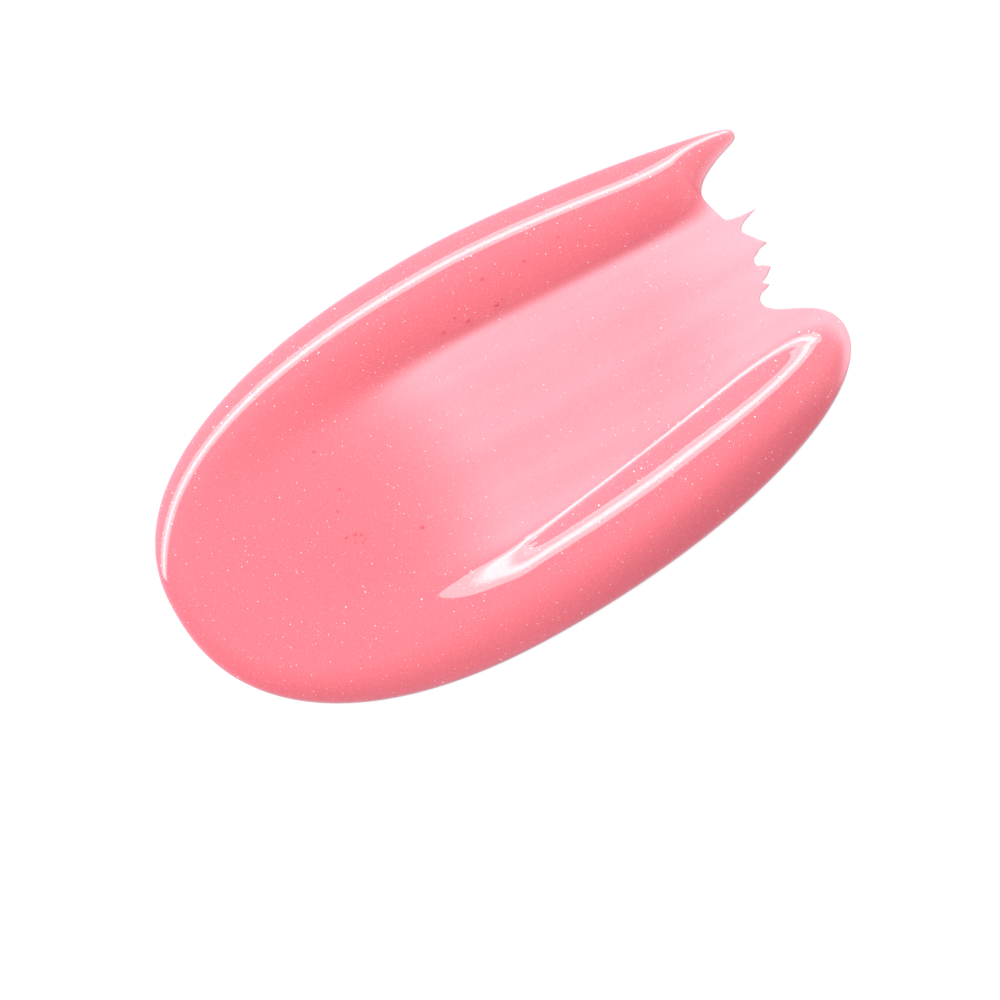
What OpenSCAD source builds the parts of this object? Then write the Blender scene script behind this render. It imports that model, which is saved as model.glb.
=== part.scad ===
// A smear of lip gloss, drawn out in one stroke.
// +X runs along the stroke: the thick pool is at -X and the torn end at +X.
// +Y is the stroke's left side, +Z is up, and the underside lies at Z = 0.
// All sizes are in millimetres.

/* [Outline] */
// Length along the stroke, from the rounded front to the two tips of the torn end
smear_length = 40; // [36:0.5:48]
// Width across the stroke at its widest
smear_width = 22.2; // [20:0.1:28]
// How far the front of the pool lies to the left of the centre line
front_offset = 0.5; // [-1:0.1:1.5]
// Squareness of the rounded front, where 2 is an ellipse
front_squareness = 2.3; // [2:0.1:3]
// How far the widest point of the left side lies behind the middle
left_widest = 1.2; // [0:0.1:3]
// How far the widest point of the right side lies behind the middle
right_widest = -1.2; // [-2:0.1:1]

/* [Torn end] */
// How far the left ridge's tip lies inside the widest left edge
left_tip_inset = 3.05; // [2.5:0.05:4]
// Height of the rounding on the left ridge's tip, across the stroke
left_tip_rounding = 0.57; // [0.4:0.01:0.8]
// How far the bite beside the left tip is torn back
bite_depth = 3.26; // [2:0.02:4.5]
// Width of that bite across the stroke
bite_width = 2.3; // [1.8:0.1:2.8]
// How far the end of the right ridge's lobe lies inside the widest right edge
lobe_inset = 6.8; // [6:0.05:8]
// Width from the end of the lobe to the notch beside it
lobe_width = 3.5; // [2.6:0.1:4]
// How far the notch beside the lobe is torn back
notch_depth = 3.37; // [2:0.01:4.5]
// Reach of the first torn spike, counted from the left
spike_1_reach = 1.8; // [0.4:0.1:2.4]
// Reach of the second torn spike
spike_2_reach = 1.1; // [0.4:0.05:2]
// Reach of the third torn spike
spike_3_reach = 0.75; // [0.2:0.05:1.4]
// Reach of the fourth torn spike
spike_4_reach = 0.6; // [0.2:0.05:1.2]

/* [Thickness] */
// Thickness of the wiped film
film_thickness = 0.15; // [0.08:0.01:0.4]
// Height of the pool above the film, at the front
pool_height = 0.82; // [0.6:0.02:1.6]
// Height of the pool above the film, at its right side
pool_side_height = 1; // [0.6:0.05:1.6]
// Height of the left ridge above the film
left_ridge_height = 1.05; // [0.6:0.05:1.8]
// Height of the right ridge above the film
right_ridge_height = 1.42; // [0.6:0.02:1.8]
// Width of the left ridge, from its outer edge to its foot in the channel
left_ridge_width = 5.4; // [4.6:0.1:6.5]
// Width of the right ridge, from its outer edge to its foot in the channel
right_ridge_width = 5.45; // [4.8:0.05:6.8]
// Distance from the left outer edge to the crest of the left ridge
left_crest_inset = 2.4; // [1.6:0.1:3.4]
// Distance from the front edge to the level top of the pool
pool_crest_inset = 1.8; // [1.2:0.1:3.4]
// Distance from the right outer edge to the crest of the right ridge
right_crest_inset = 2.6; // [1.6:0.1:3.4]
// Length of the slope from the top of the pool down to the film
ramp_length = 18; // [12:0.5:20]
// How far that slope's foot bows back into the pool at its two sides
ramp_bow = 1.4; // [0:0.1:3]
// Place along the stroke where the pool's right side starts to rise to the right ridge
right_rise_start = -6; // [-10:0.5:-2]
// Length over which it rises
right_rise_length = 14.5; // [8:0.5:18]
// Length over which the left ridge sinks towards its tip
tip_fall_length = 8; // [5:0.5:12]
// Length over which the right ridge sinks towards the end of its lobe
lobe_fall_length = 7.5; // [5:0.5:12]

/* [Pearl flecks] */
// Number of flecks on the pool and the ridges
bead_flecks = 90; // [20:10:200]
// Number of flecks on the film in the channel
film_flecks = 30; // [10:5:60]
// Width of a fleck across its corners
fleck_width = 0.2; // [0.1:0.02:0.24]
// Thickness of a fleck
fleck_thickness = 0.03; // [0.02:0.01:0.06]

/* [Hidden] */

// Steps along the parts of the rails, and across the bead
tip_steps = 4;
bite_steps = 8;
foot_steps = 18;
front_steps = 52;
right_tail_steps = 30;
lobe_steps = 14;
tear_steps = 100;
edge_steps = 8;
flank_steps = 12;

// Largest share of the bead's local width that its outer roll takes near the tips
roll_share = 0.48;
// Least rise of the bead above the film, between its two rims
least_rise = 0.01;
// Share of the rounded front over which each ridge passes into the pool
ridge_fade = 0.36;
// Share of its height that the left ridge loses towards its tip
left_tip_fall = 0.5;
// Bends of the two feet where they run on into the pool, per millimetre
left_foot_bend = -0.0085;
right_foot_bend = 0.028;
// Fullness of the ridges' inner flanks, where 1 is straight
left_flank_fullness = 1.7;
right_flank_fullness = 2;
// Softness of the crease at a ridge's foot inside the pool, as a share of the flank, how far ahead of
// the pool it starts and the length over which it comes in
foot_softness = 0.36;
softening_lead = 2.5;
softening_length = 7;
// Seed of the flecks' places, the bead's rows and columns that stay bare of them, and how far those
// on the film stay from its ends
fleck_seed = 7;
bare_end_rows = 8;
bare_rim_columns = 2;
fleck_film_margin = 1;

half_length = smear_length / 2;
half_width = smear_width / 2;

// Key points of the outline
left_side = [left_widest, half_width];
right_side = [right_widest, -half_width];
front_pole = [-half_length, front_offset];
left_tip = [half_length, half_width - left_tip_inset];
bite_bottom = left_tip - [bite_depth, bite_width];
lobe_end = [half_length, lobe_inset - half_width];
notch = lobe_end + [-notch_depth, lobe_width];

// Feet of the two ridges, abreast of the widest points
left_foot = left_side - [0, left_ridge_width];
right_foot = right_side + [0, right_ridge_width];

// Pulls of the curves' handles, away from the ends that they belong to
left_edge_tip_pull = [-1, 0.43];
left_edge_side_pull = [6.5, 0];
bite_tip_pull = [-1.13, -0.35];
bite_bottom_pull = [0, 0.9];
left_foot_bite_pull = [0, -0.7];
left_foot_side_pull = [11.8, -0.6];
right_foot_side_pull = [9.4, 0.75];
right_foot_lobe_pull = [-2.5, 1.75];
lobe_end_pull = [0, 2.3];
lobe_notch_pull = [0, -1.2];
tear_bite_pull = [0.16, -1.5];
tear_notch_pull = [1.97, 2.3];

// Cubic curves, each as start, two handles and end
upper_tip_end = left_tip + left_tip_rounding * [-1.4, 1];
lower_tip_end = left_tip + left_tip_rounding * [-1, -0.88];
upper_tip = [left_tip, left_tip + left_tip_rounding * [0, 0.53],
             upper_tip_end + left_tip_rounding * [0.88, -0.26], upper_tip_end];
lower_tip = [left_tip, left_tip - left_tip_rounding * [0, 0.53],
             lower_tip_end + left_tip_rounding * [0.65, 0.18], lower_tip_end];
left_edge = [upper_tip_end, upper_tip_end + left_edge_tip_pull, left_side + left_edge_side_pull, left_side];
bite = [lower_tip_end, lower_tip_end + bite_tip_pull, bite_bottom + bite_bottom_pull, bite_bottom];
left_foot_line = [bite_bottom, bite_bottom + left_foot_bite_pull, left_foot + left_foot_side_pull, left_foot];
right_foot_line = [right_foot, right_foot + right_foot_side_pull, lobe_end + right_foot_lobe_pull, lobe_end];
lobe_top = [lobe_end, lobe_end + lobe_end_pull, notch + lobe_notch_pull, notch];
tear = [bite_bottom, bite_bottom + tear_bite_pull, notch + tear_notch_pull, notch];

// Spikes of the torn film: place along the tear, reach, and spread to the left and to the right,
// with places and spreads as shares of the tear
spikes = [
    [0.34, spike_1_reach, 0.10, 0.14],
    [0.635, spike_2_reach, 0.24, 0.06],
    [0.80, spike_3_reach, 0.06, 0.10],
    [0.915, spike_4_reach, 0.05, 0.06],
];

function cubic(c, u) =
    pow(1 - u, 3) * c[0] + 3 * pow(1 - u, 2) * u * c[1] + 3 * (1 - u) * u * u * c[2] + pow(u, 3) * c[3];
function curve(c, steps) = [for (k = [0 : steps - 1]) cubic(c, k / steps)];
function reversed(points) = [for (k = [len(points) - 1 : -1 : 0]) points[k]];
function clamp(a) = min(max(a, 0), 1);
function mix(a, b, share) = a + (b - a) * share;
// Rounded rise that leaves the edge steeply and levels out at 1
function roll(a) = clamp(a) * (2 - clamp(a));
// Rise that is level at both ends
function ease(a) = clamp(a) * clamp(a) * (3 - 2 * clamp(a));

// Quarter of the rounded front, from its pole (turn 0) to the widest point of one side (turn 90)
function front_quarter(side, turn) =
    let (power = 2 / front_squareness)
    [side.x - (side.x - front_pole.x) * pow(cos(turn), power),
     front_pole.y + (side.y - front_pole.y) * pow(sin(turn), power)];
function front_point(share) =
    share < 0.5 ? front_quarter(left_side, 90 - 180 * share) : front_quarter(right_side, 180 * share - 90);
// Quarter ellipse from the widest point of the right side to the end of the lobe
function right_tail_point(turn) =
    [mix(right_side.x, lobe_end.x, sin(turn)), mix(lobe_end.y, right_side.y, cos(turn))];

// Outer rail, from the left tip round the front to the end of the lobe
outer_rail = concat(
    curve(upper_tip, tip_steps),
    curve(left_edge, bite_steps + foot_steps),
    [for (k = [0 : front_steps - 1]) front_point(k / front_steps)],
    [for (k = [0 : right_tail_steps]) right_tail_point(90 * k / right_tail_steps)]
);
// Inner rail, abreast of it: the bite, the left foot, the end of the pool's slope and the right foot.
// The square root keeps the points of the left foot beside those of the left edge.
inner_rail = concat(
    curve(lower_tip, tip_steps),
    curve(bite, bite_steps),
    [for (k = [0 : foot_steps - 1]) cubic(left_foot_line, sqrt(k / foot_steps))],
    [for (k = [0 : front_steps - 1]) mix(left_foot, right_foot, k / front_steps)],
    [for (k = [0 : right_tail_steps]) cubic(right_foot_line, k / right_tail_steps)]
);

stations = len(outer_rail) - 1;
columns = edge_steps + flank_steps;
front_start = tip_steps + bite_steps + foot_steps;
front_end = front_start + front_steps;

function in_front(i) = i >= front_start && i <= front_end;
function front_share(i) = clamp((i - front_start) / front_steps);
function band(i) = norm(inner_rail[i] - outer_rail[i]);

// Value that runs from the left ridge's through the pool's to the right ridge's
function along_bead(i, left, pool, right) =
    front_share(i) < 0.5 ? mix(left, pool, ease(front_share(i) / ridge_fade))
                         : mix(right, pool, ease((1 - front_share(i)) / ridge_fade));

// Width of the outer roll, which narrows towards the tips
function roll_width(i) =
    let (inset = along_bead(i, left_crest_inset, pool_crest_inset, right_crest_inset))
    in_front(i) ? inset : min(inset, roll_share * band(i));

// Height of the crest: the right side rises from the pool's height to the ridge's, and both ridges
// sink towards their ends
function right_rise(i) =
    front_share(i) < 0.5 ? 0 : ease((outer_rail[i].x - right_rise_start) / right_rise_length);
function full_height(i) =
    mix(along_bead(i, left_ridge_height, pool_height, pool_side_height), right_ridge_height, right_rise(i));
function end_share(i) =
    i < front_start ? 1 - left_tip_fall * ease(1 + (outer_rail[i].x - left_tip.x) / tip_fall_length)
                    : 1 - pow(clamp(1 + (outer_rail[i].x - lobe_end.x) / lobe_fall_length), 2);
function ridge_height(i) =
    let (width = i < front_start ? left_ridge_width : right_ridge_width)
    in_front(i) ? full_height(i) : full_height(i) * roll(band(i) / width) * end_share(i);

// Direction into the smear: square to the edge round the front, towards the foot along the tails
function inward(i) =
    let (along = outer_rail[min(i + 1, stations)] - outer_rail[max(i - 1, 0)],
         across = in_front(i) ? [-along.y, along.x] : inner_rail[i] - outer_rail[i])
    across / norm(across);
function crest_point(i) = outer_rail[i] + roll_width(i) * inward(i);

// How far a point lies past the foot of the pool's slope, which bows between the ridges' two feet
function pool_depth(p) =
    let (middle = (left_foot + right_foot) / 2,
         across = (p.y - middle.y) / (left_foot.y - middle.y))
    middle.x - ramp_bow * min(across * across, 1) - p.x;
function pool_level(p) = pool_height * ease(pool_depth(p) / ramp_length);

// The feet run on into the pool with a slight bend
function foot_in_pool(foot, along, bend, run) = foot.y + run * along.y / along.x + bend * run * run;
function left_foot_y(x) = foot_in_pool(left_foot, left_foot_side_pull, left_foot_bend, x - left_foot.x);
function right_foot_y(x) = foot_in_pool(right_foot, right_foot_side_pull, right_foot_bend, x - right_foot.x);

// How far a point stands up a ridge's inner flank: 0 at the foot, less below it, 1 at the crest
function flank_share(i, p, v) =
    !in_front(i) ? 1 - v
    : front_share(i) < 0.5 ? (p.y - left_foot_y(p.x)) / (left_ridge_width - left_crest_inset)
    : (right_foot_y(p.x) - p.y) / (right_ridge_width - right_crest_inset);
function soften(a, softness) =
    abs(a) < softness ? pow(a + softness, 2) / (4 * softness) : max(a, 0);
function flank_height(i, p, v) =
    let (softness = foot_softness * clamp((pool_depth(p) + softening_lead) / softening_length),
         climb = clamp(soften(flank_share(i, p, v), softness)),
         fullness = front_share(i) < 0.5 ? left_flank_fullness : right_flank_fullness)
    mix(ridge_height(i), pool_level(p), pow(1 - climb, fullness));

// Point of the bead's upper surface at a station along the rails and a column from edge to foot
function bead_point(i, j) =
    let (crest = crest_point(i),
         u = j / edge_steps,
         v = (j - edge_steps) / flank_steps,
         p = j < edge_steps ? mix(outer_rail[i], crest, u) : mix(crest, inner_rail[i], v),
         rise = j < edge_steps ? flank_height(i, crest, 0) * roll(u) : flank_height(i, p, v))
    [p.x, p.y, film_thickness + (j == 0 || j == columns ? 0 : max(rise, least_rise))];

function on_film(p) = [p.x, p.y, film_thickness];
bead_rows = [for (i = [0 : stations]) [for (j = [0 : columns]) bead_point(i, j)]];

// Index of a grid point, where the first and last stations are single points
function vertex(i, j) =
    i == 0 ? 0 : i == stations ? 1 + (stations - 1) * (columns + 1) : 1 + (i - 1) * (columns + 1) + j;
// The facets' diagonals lean to the left on the left half and to the right on the right half
function lean(i) = i < (front_start + front_end) / 2 ? 0 : 1;

// Torn edge of the film, from the bite to the notch
function spike_rise(spike, u) =
    let (spread = u < spike[0] ? spike[2] : spike[3])
    spike[1] * pow(max(0, 1 - abs(u - spike[0]) / spread), 2);
function tear_point(u) =
    cubic(tear, u) + [for (s = spikes) spike_rise(s, u)] * [for (s = spikes) [1, 0]];

// Row and column of the facet that carries a fleck: the flecks are spread evenly along the rows
function fleck_row(k) =
    floor(mix(bare_end_rows, stations - bare_end_rows, k / bead_flecks));
function fleck_column(draw) = floor(mix(bare_rim_columns, columns - bare_rim_columns, draw));

module wiped_film() {
    outline = concat(
        outer_rail,
        [for (k = [1 : lobe_steps]) cubic(lobe_top, k / lobe_steps)],
        reversed([for (k = [0 : tear_steps - 1]) tear_point(k / tear_steps)]),
        reversed(curve(bite, bite_steps)),
        reversed([for (k = [1 : tip_steps - 1]) cubic(lower_tip, k / tip_steps)])
    );
    color([1, 0.71, 0.76])
    linear_extrude(film_thickness)
    polygon(outline);
}

module gloss_bead() {
    points = concat(
        [on_film(outer_rail[0])],
        [for (i = [1 : stations - 1]) each bead_rows[i]],
        [on_film(outer_rail[stations])]
    );
    upper = [
        for (i = [0 : stations - 1], j = [0 : columns - 1]) each [
            if (i > 0) [vertex(i, j), vertex(i, j + 1), vertex(i + 1, j + lean(i))],
            if (i < stations - 1) [vertex(i, j + 1 - lean(i)), vertex(i + 1, j + 1), vertex(i + 1, j)],
        ]
    ];
    underside = [
        for (i = [0 : stations - 1]) each [
            if (i > 0) [vertex(i, 0), vertex(i + 1, 0), vertex(i, columns)],
            if (i < stations - 1) [vertex(i, columns), vertex(i + 1, 0), vertex(i + 1, columns)],
        ]
    ];
    color([1, 0.53, 0.6])
    polyhedron(points, concat(upper, underside));
}

// One platelet, lying flat at a place and facing along a normal
module fleck(place, normal, turn) {
    translate(place)
    rotate([0, acos(normal.z), atan2(normal.y, normal.x)])
    rotate(turn)
    cylinder(d = fleck_width, h = fleck_thickness, $fn = 6);
}

module pearl_flecks() {
    column_draws = rands(0, 1, bead_flecks, fleck_seed);
    across_draws = rands(0, 1, film_flecks, fleck_seed + 1);
    color([1, 0.93, 0.92]) {
        for (k = [0 : bead_flecks - 1]) {
            row = fleck_row(k);
            column = fleck_column(column_draws[k]);
            a = bead_rows[row][column];
            b = bead_rows[row][column + 1];
            c = bead_rows[row + 1][column + lean(row)];
            normal = cross(c - a, b - a);
            fleck((a + b + c) / 3, normal / norm(normal), 60 * column_draws[k]);
        }
        for (k = [0 : film_flecks - 1]) {
            x = mix(left_foot.x + fleck_film_margin, bite_bottom.x - fleck_film_margin, k / film_flecks);
            y = mix(left_foot.y - bite_width, right_foot.y + lobe_width, across_draws[k]);
            fleck([x, y, film_thickness], [0, 0, 1], 60 * across_draws[k]);
        }
    }
}

wiped_film();
gloss_bead();
pearl_flecks();
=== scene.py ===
"""A smear of pearl-pink lip gloss on a white surface, seen from straight above.

+X runs along the stroke, from the thick pool to the torn end. +Y is the stroke's left side.
Sizes of the smear are in millimetres. Meshes, lights and the camera are in metres.
"""
import math

import bpy
import numpy as np
from mathutils import Euler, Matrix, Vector
from mathutils.bvhtree import BVHTree


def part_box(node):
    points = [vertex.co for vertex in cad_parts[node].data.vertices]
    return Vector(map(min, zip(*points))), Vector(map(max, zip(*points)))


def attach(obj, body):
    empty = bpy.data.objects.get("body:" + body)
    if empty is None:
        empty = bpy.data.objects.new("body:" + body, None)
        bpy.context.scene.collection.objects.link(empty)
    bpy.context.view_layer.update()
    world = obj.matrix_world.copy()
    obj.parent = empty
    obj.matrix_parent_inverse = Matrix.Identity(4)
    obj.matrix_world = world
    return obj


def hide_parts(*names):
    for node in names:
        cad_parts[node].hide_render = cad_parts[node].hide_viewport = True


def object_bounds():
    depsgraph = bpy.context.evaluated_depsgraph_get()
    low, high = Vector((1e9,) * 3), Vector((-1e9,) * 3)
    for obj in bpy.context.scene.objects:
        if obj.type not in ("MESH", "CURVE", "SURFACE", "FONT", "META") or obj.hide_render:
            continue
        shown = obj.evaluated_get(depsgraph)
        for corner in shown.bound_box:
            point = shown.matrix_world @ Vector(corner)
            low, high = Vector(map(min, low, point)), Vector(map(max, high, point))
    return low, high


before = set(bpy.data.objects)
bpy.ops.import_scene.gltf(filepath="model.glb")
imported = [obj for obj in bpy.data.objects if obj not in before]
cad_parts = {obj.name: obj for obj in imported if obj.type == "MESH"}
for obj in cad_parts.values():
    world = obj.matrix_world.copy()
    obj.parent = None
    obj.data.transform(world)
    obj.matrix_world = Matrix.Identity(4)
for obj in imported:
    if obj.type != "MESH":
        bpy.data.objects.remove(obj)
cad_low, cad_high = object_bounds()

MM = 0.001
BODY = "root"

# Outline, where the frame gives the length, the width, the film's thickness and the right ridge's height
_, film_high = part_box("wiped_film")
bead_low, bead_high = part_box("gloss_bead")
HALF_LENGTH = film_high.x / MM
HALF_WIDTH = film_high.y / MM
FILM_THICKNESS = film_high.z / MM
FRONT_OFFSET = 0.5
FRONT_SQUARENESS = 2.3
LEFT_WIDEST = 1.2
RIGHT_WIDEST = -1.2
LEFT_TIP_INSET = 3.05
LEFT_TIP_ROUNDING = 0.57
BITE_DEPTH = 3.26
BITE_WIDTH = 2.3
LOBE_INSET = 6.8
LOBE_WIDTH = 3.5
NOTCH_DEPTH = 3.37

# Ridges and pool, as heights above the film and widths across the stroke
RIGHT_RIDGE_HEIGHT = (bead_high.z - bead_low.z) / MM
LEFT_RIDGE_HEIGHT = 1.05
POOL_HEIGHT = 0.82
POOL_SIDE_HEIGHT = 1.0
LEFT_RIDGE_WIDTH = 5.4
RIGHT_RIDGE_WIDTH = 5.45
# Where the right ridge begins to rise out of the pool, and the length over which it does
RIGHT_RISE_START = -5.5
RIGHT_RISE_LENGTH = 14
# How far the crests lie in from the edge
LEFT_CREST_INSET = 2.4
POOL_CREST_INSET = 1.8
RIGHT_CREST_INSET = 2.6
# Share of the way round the front over which each ridge passes into the pool
RIDGE_FADE = 0.36
# Length of the pool's slope down to the film, and how far its foot bows between the ridges
RAMP_LENGTH = 18
RAMP_BOW = 1.4
# Largest share of the local width that the outer roll takes near the tips
ROLL_SHARE = 0.48

# Share of its height that the left ridge loses towards its tip, and over which length
TIP_FALL = 0.62
TIP_FALL_LENGTH = 8

# The right ridge sinks into its lobe, and stops short of the lobe's end with a soft rim
LOBE_FALL_LENGTH = 10.6
LOBE_FALL_POWER = 3.5
LOBE_LIP = 0.4
LOBE_SOFTNESS = 3
LOBE_SOFT_LENGTH = 2.2
# Where the right ridge's flank begins to grow softer towards the lobe, and the length over which it does
LOBE_FOOT_START = 8
LOBE_FOOT_LENGTH = 8

# How the outer rolls and inner flanks fall from their crests: 2 is a parabola, and less is straighter
LEFT_ROLL_POWER = 2
RIGHT_ROLL_POWER = 1.7
LEFT_FLANK_POWER = 1.7
BITE_FLANK_POWER = 1.25
RIGHT_FLANK_POWER = 2
LOBE_FLANK_POWER = 1.9

# Fillets at the ridges' feet, and the largest share of a flank that one takes
LEFT_FOOT_FILLET = 0.45
RIGHT_FOOT_FILLET = 0.7
LOBE_FOOT_FILLET = 0.95
LARGEST_FILLET_SHARE = 0.5
# Share of the flank that the fillet takes in the bite, and rows over which it passes into the ridge's own
BITE_FILLET_SHARE = 0.55
BITE_FILLET_ROWS = 80
# Softer crease inside the pool as a share of the flank, how far ahead of the pool it begins to soften, and
# the length over which it does
FOOT_SOFTNESS = 0.36
SOFTENING_LEAD = 2.5
SOFTENING_LENGTH = 7
# Width of the rounding along the edge of the thick gloss and of the bare film
EDGE_ROUNDING = 0.16
FILM_EDGE_ROUNDING = 0.06

# Torn spikes, and two bays with a reach below zero: place along the tear, reach, spread to the left and
# to the right as shares of the tear, and power of the left and the right side, where 1 is straight, more
# is hollow and less is blunt
SPIKES = [
    (0.3467, 1.8, 0.10, 0.13, 5, 2.2),
    (0.6267, 0.55, 0.28, 0.05, 1.6, 0.8),
    (0.6267, 0.45, 0.28, 0.012, 1.6, 1),
    (0.7133, -0.14, 0.05, 0.035, 0.6, 0.6),
    (0.80, 0.67, 0.052, 0.067, 0.6, 0.6),
    (0.9133, 0.5, 0.045, 0.027, 1.3, 0.8),
    (0.9667, -0.11, 0.03, 0.033, 0.6, 0.6),
]

# Air bubbles under the surface: place along the stroke, place across it, and diameter
BUBBLES = [
    (3.9, 8.0, 0.22),
    (3.9, 6.4, 0.33),
    (2.1, 6.4, 0.28),
    (1.5, 6.9, 0.16),
    (4.3, 6.5, 0.12),
    (5.4, 6.5, 0.12),
    (0.6, 6.5, 0.2),
    (6.4, 7.7, 0.18),
    (8.7, 7.9, 0.18),
    (-9.7, -0.6, 0.2),
    (-9.2, -0.7, 0.25),
    (-8.9, -0.9, 0.16),
    (-9.4, -1.1, 0.14),
    (-9.0, -1.3, 0.16),
    (-8.8, -1.2, 0.12),
    (-8.9, 4.4, 0.2),
    (-8.7, 1.9, 0.18),
    (-9.4, 0.9, 0.16),
    (-9.2, 3.8, 0.14),
    (-5.8, -2.2, 0.22),
]

# Steps of the mesh along its rails and across them
CURVE_SAMPLES = 400
TIP_STEPS = 10
BITE_STEPS = 30
FOOT_STEPS = 120
TEAR_STEPS = 150
LOBE_STEPS = 90
FRONT_STEPS = TEAR_STEPS + LOBE_STEPS
ROLL_STEPS = 22
FLANK_STEPS = 36
# Place on the left edge that lies abreast of the bottom of the bite, measured along the stroke
BITE_ABREAST = 16
# How quickly the steps grow away from the tear and from the edges
FOOT_GROWTH = 1.022
ROLL_CROWDING = 1.5
FLANK_CROWDING = 1.4
# How quickly the spikes and the bulges of the feet's lines fade out across the film
SPIKE_FADE = 10
BULGE_FADE = 5
# Least width of a flank by which the film's distance from its foot is measured
LEAST_FLANK = 0.1
# Least value that anything is divided by, and how many points are measured at once
TINY = 1e-12
CHUNK = 2000


def point(x, y):
    return np.array((x, y), float)


LEFT_SIDE = point(LEFT_WIDEST, HALF_WIDTH)
RIGHT_SIDE = point(RIGHT_WIDEST, -HALF_WIDTH)
FRONT_POLE = point(-HALF_LENGTH, FRONT_OFFSET)
LEFT_TIP = point(HALF_LENGTH, HALF_WIDTH - LEFT_TIP_INSET)
BITE_BOTTOM = LEFT_TIP - point(BITE_DEPTH, BITE_WIDTH)
LOBE_END = point(HALF_LENGTH, LOBE_INSET - HALF_WIDTH)
NOTCH = LOBE_END + point(-NOTCH_DEPTH, LOBE_WIDTH)
LEFT_FOOT = LEFT_SIDE - point(0, LEFT_RIDGE_WIDTH)
RIGHT_FOOT = RIGHT_SIDE + point(0, RIGHT_RIDGE_WIDTH)
# Pulls of the feet's handles, and how much the feet's lines bend as they run on into the pool
LEFT_FOOT_PULL = point(11.8, -0.6)
LEFT_FOOT_BITE_PULL = point(0, -1.1)
RIGHT_FOOT_PULL = point(9.4, 0.75)
RIGHT_FOOT_LOBE_PULL = point(-0.8, 2.0)
LEFT_FOOT_BEND = -0.0085
RIGHT_FOOT_BEND = 0.028
# Pulls of the handles at the ends of the outline's other curves
LEFT_EDGE_TIP_PULL = point(-1, 0.43)
LEFT_EDGE_SIDE_PULL = point(6.5, 0)
BITE_TIP_PULL = point(-1.13, -0.35)
BITE_BOTTOM_PULL = point(0, 0.9)
TEAR_BITE_PULL = point(0.16, -1.5)
TEAR_NOTCH_PULL = point(1.97, 2.3)
LOBE_NOTCH_PULL = point(0, -1.2)
LOBE_END_PULL = point(0, 2.3)
# Curves round the left tip, in units of its rounding: where they end, and the pulls of their handles
UPPER_TIP_RUN = point(-1.4, 1)
LOWER_TIP_RUN = point(-1, -0.88)
TIP_PULL = point(0, 0.53)
UPPER_TIP_END_PULL = point(0.88, -0.26)
LOWER_TIP_END_PULL = point(0.65, 0.18)


# Curves and profiles

def cubic(start, start_pull, end_pull, end):
    """Points of a cubic curve, from its ends and its handles' pulls away from them."""
    u = np.linspace(0, 1, CURVE_SAMPLES + 1)[:, None]
    first, second = start + start_pull, end + end_pull
    return (1 - u) ** 3 * start + 3 * (1 - u) ** 2 * u * first + 3 * (1 - u) * u**2 * second + u**3 * end


def spaced(curve, shares):
    """Points at these shares of a curve's length."""
    steps = np.linalg.norm(np.diff(curve, axis=0), axis=1)
    reach = np.concatenate(([0], np.cumsum(steps)))
    wanted = np.asarray(shares) * reach[-1]
    return np.stack([np.interp(wanted, reach, curve[:, axis]) for axis in (0, 1)], axis=1)


def mix(a, b, share):
    return a + (b - a) * share


def ease(a):
    a = np.clip(a, 0, 1)
    return a * a * (3 - 2 * a)


def roll(a):
    a = np.clip(a, 0, 1)
    return a * (2 - a)


def front_quarter(side, turn):
    """Quarter of the rounded front, from its pole (turn 0) to one side's widest point."""
    power = 2 / FRONT_SQUARENESS
    x = side[0] - (side[0] - FRONT_POLE[0]) * np.cos(turn) ** power
    y = FRONT_POLE[1] + (side[1] - FRONT_POLE[1]) * np.sin(turn) ** power
    return np.stack([x, y], axis=1)


def lay_tear():
    """Torn edge without its spikes, and the spikes' reach, from the bite to the end of the lobe."""
    tear = cubic(BITE_BOTTOM, TEAR_BITE_PULL, TEAR_NOTCH_PULL, NOTCH)
    lobe_top = cubic(NOTCH, LOBE_NOTCH_PULL, LOBE_END_PULL, LOBE_END)
    u = np.arange(TEAR_STEPS) / TEAR_STEPS
    on_curve = np.linspace(0, 1, CURVE_SAMPLES + 1)
    plain = np.stack([np.interp(u, on_curve, tear[:, axis]) for axis in (0, 1)], axis=1)
    edge = np.concatenate([plain, spaced(lobe_top, np.linspace(0, 1, LOBE_STEPS + 1))])
    reach = np.zeros(len(edge))
    for place, length, left, right, left_power, right_power in SPIKES:
        spread = np.where(u < place, left, right)
        power = np.where(u < place, left_power, right_power)
        reach[:TEAR_STEPS] += length * np.maximum(0, 1 - np.abs(u - place) / spread) ** power
    return edge, reach


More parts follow.
